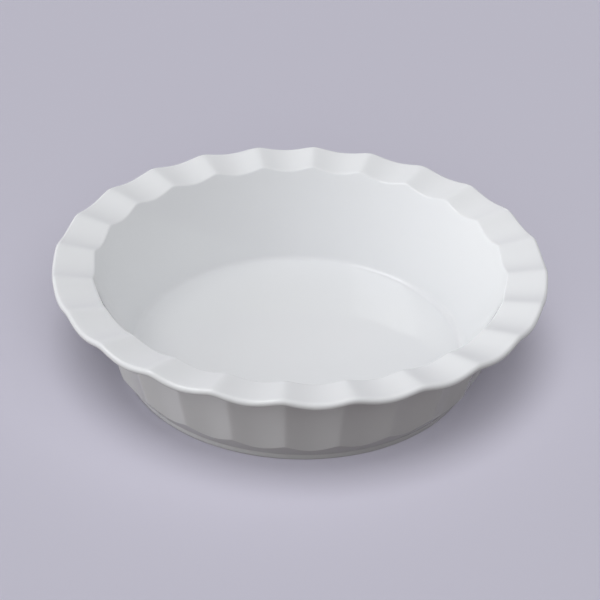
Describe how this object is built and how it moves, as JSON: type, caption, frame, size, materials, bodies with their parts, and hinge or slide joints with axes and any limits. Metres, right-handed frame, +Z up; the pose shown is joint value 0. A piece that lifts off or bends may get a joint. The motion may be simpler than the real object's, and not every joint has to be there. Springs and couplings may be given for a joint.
{
  "type": "pie dish",
  "caption": "Round open dish with a fluted, slightly sloping wall, a wide scalloped rim, a flat floor and a low foot ring.",
  "frame": {"origin": "centre of the foot ring's contact plane, on the axis of the bowl", "axes": "+Z up along the axis of the bowl, which stands as in use; a crest of the scalloped rim and a ridge of the fluted wall lie on +X"},
  "size_m": [0.27, 0.27, 0.0642],
  "materials": {
    "porcelain": "smooth glossy white glaze, with a bare matt contact ring on the foot"
  },
  "bodies": {
    "root": {"dish": "porcelain"}
  },
  "joints": []
}
